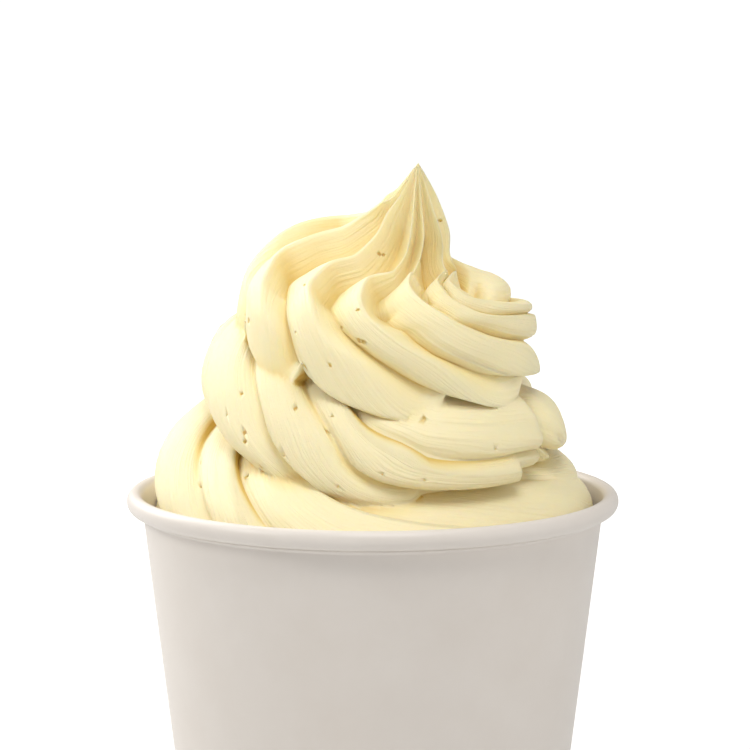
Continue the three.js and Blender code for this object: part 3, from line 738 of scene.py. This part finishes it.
def keep_largest(shape):
    """Deletes every loose island but the largest, such as the walls of shut-in air."""
    seen = set()
    islands = []
    for first in shape.verts:
        if first in seen:
            continue
        island, waiting = [], [first]
        seen.add(first)
        while waiting:
            corner = waiting.pop()
            island.append(corner)
            for edge in corner.link_edges:
                other = edge.other_vert(corner)
                if other not in seen:
                    seen.add(other)
                    waiting.append(other)
        islands.append(island)
    islands.sort(key=len)
    for island in islands[:-1]:
        bmesh.ops.delete(shape, geom=island, context="VERTS")


# the joins between the coils are blended: smoothed a little way to each side
weld_distance = 2e-5
join_reach, join_rounds = 2, 6

bm = bmesh.new()
bm.from_mesh(swirl_mesh)
bmesh.ops.remove_doubles(bm, verts=bm.verts, dist=weld_distance)
keep_largest(bm)
layer_of = bm.faces.layers.int["layer"]
around = {v: {f[layer_of] for f in v.link_faces} for v in bm.verts}
joined = {v for v, layers in around.items() if len(layers) > 1 and pit_layer not in layers}
for _ in range(join_reach):
    joined |= {e.other_vert(v) for v in joined for e in v.link_edges}
for _ in range(join_rounds):
    bmesh.ops.smooth_vert(bm, verts=list(joined), factor=0.5,
                          use_axis_x=True, use_axis_y=True, use_axis_z=True)
bm.to_mesh(swirl_mesh)
bm.free()


# how deep each point lies, near by and in the wider form; the cream's colour is painted from it: paler on
# crests as painted light, darker and more golden in creases and under lips as painted shade
hollow_pull = 0.6
near_rounds, wide_rounds, wide_share = 50, 320, 0.45
crease_shade_from_mm, crease_shade_to_mm = -0.9, 1.7
shade_ramp_middle = 0.38
# tints of the painted light and shade, from crest through the cream's middle tone to deep crease
crest_light_and_crease_shade_tints = ((0.935, 0.83, 0.525, 1), (0.92, 0.785, 0.415, 1), (0.78, 0.54, 0.13, 1))
cream_gloss = (0.42, 0.6)


def hollow_of(mesh, rounds):
    """How far, in mm, each point lies below its smoothed surroundings."""
    count = len(mesh.vertices)
    points = np.empty(count * 3)
    mesh.vertices.foreach_get("co", points)
    points = points.reshape(-1, 3) * 1000
    normals = np.array([n.vector for n in mesh.vertex_normals])
    pairs = np.empty(len(mesh.edges) * 2, int)
    mesh.edges.foreach_get("vertices", pairs)
    a, b = pairs.reshape(-1, 2).T
    neighbours = np.bincount(a, minlength=count) + np.bincount(b, minlength=count)
    soft = points.copy()
    for _ in range(rounds):
        total = np.zeros_like(soft)
        for axis in range(3):
            total[:, axis] = (np.bincount(a, soft[b, axis], count)
                              + np.bincount(b, soft[a, axis], count))
        soft = (1 - hollow_pull) * soft + hollow_pull * total / neighbours[:, None]
    return np.einsum("ij,ij->i", soft - points, normals)


# the crease depth kept on the mesh, by which shade is painted into the cream's colour
crease_shade = swirl_mesh.attributes.new("crease_shade", "FLOAT", "POINT")
crease_shade_depths = hollow_of(swirl_mesh, near_rounds) + wide_share * hollow_of(swirl_mesh, wide_rounds)
crease_shade.data.foreach_set("value", crease_shade_depths.astype(np.float32))
swirl_mesh.polygons.foreach_set("use_smooth", [True] * len(swirl_mesh.polygons))


def soft_serve_finish():
    """Matt, faintly moist cream with drawn lines and fine air, painted paler on crests and darker gold in
    creases and hollows as painted light and shade.
    """
    cream = bpy.data.materials.new("soft_serve")
    cream.use_nodes = True
    nodes = cream.node_tree.nodes
    wire = cream.node_tree.links.new
    shader = nodes["Principled BSDF"]
    shader.inputs["Subsurface Weight"].default_value = 0.35
    shader.inputs["Subsurface Radius"].default_value = (1.0, 0.75, 0.35)
    shader.inputs["Subsurface Scale"].default_value = 0.0018
    shader.inputs["Specular IOR Level"].default_value = 0.6

    crease_shade_node = nodes.new("ShaderNodeAttribute")
    crease_shade_node.attribute_name = "crease_shade"
    depth = ranged(nodes, wire, crease_shade_node.outputs["Fac"], crease_shade_from_mm, crease_shade_to_mm, 0, 1)
    # painted light and shade: the deeper a point lies, the darker and more golden the cream is painted,
    # and crests are painted paler
    tint = nodes.new("ShaderNodeValToRGB")
    tint.color_ramp.elements.new(shade_ramp_middle)
    for stop, colour in zip(tint.color_ramp.elements, crest_light_and_crease_shade_tints):
        stop.color = colour
    wire(depth, tint.inputs["Fac"])
    wire(tint.outputs["Color"], shader.inputs["Base Color"])

    flow = nodes.new("ShaderNodeUVMap")
    flow.uv_map = "flow"
    drawn_lines = nodes.new("ShaderNodeMapping")
    drawn_lines.inputs["Scale"].default_value = (220, 5, 1)
    wire(flow.outputs["UV"], drawn_lines.inputs["Vector"])
    lines = noise_of(nodes, wire, drawn_lines.outputs["Vector"], 1, 4)
    place = nodes.new("ShaderNodeTexCoord")
    air = noise_of(nodes, wire, place.outputs["Object"], 1400, 3)
    air_bump = bumped(nodes, wire, air.outputs["Fac"], 0.25, 0.0002)
    line_bump = bumped(nodes, wire, lines.outputs["Fac"], 0.6, 0.0006)
    wire(air_bump.outputs["Normal"], line_bump.inputs["Normal"])
    wire(line_bump.outputs["Normal"], shader.inputs["Normal"])
    wire(ranged(nodes, wire, air.outputs["Fac"], 0, 1, *cream_gloss), shader.inputs["Roughness"])
    return cream


swirl_mesh.materials.clear()
swirl_mesh.materials.append(soft_serve_finish())
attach(swirl, "root")
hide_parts("soft_serve")
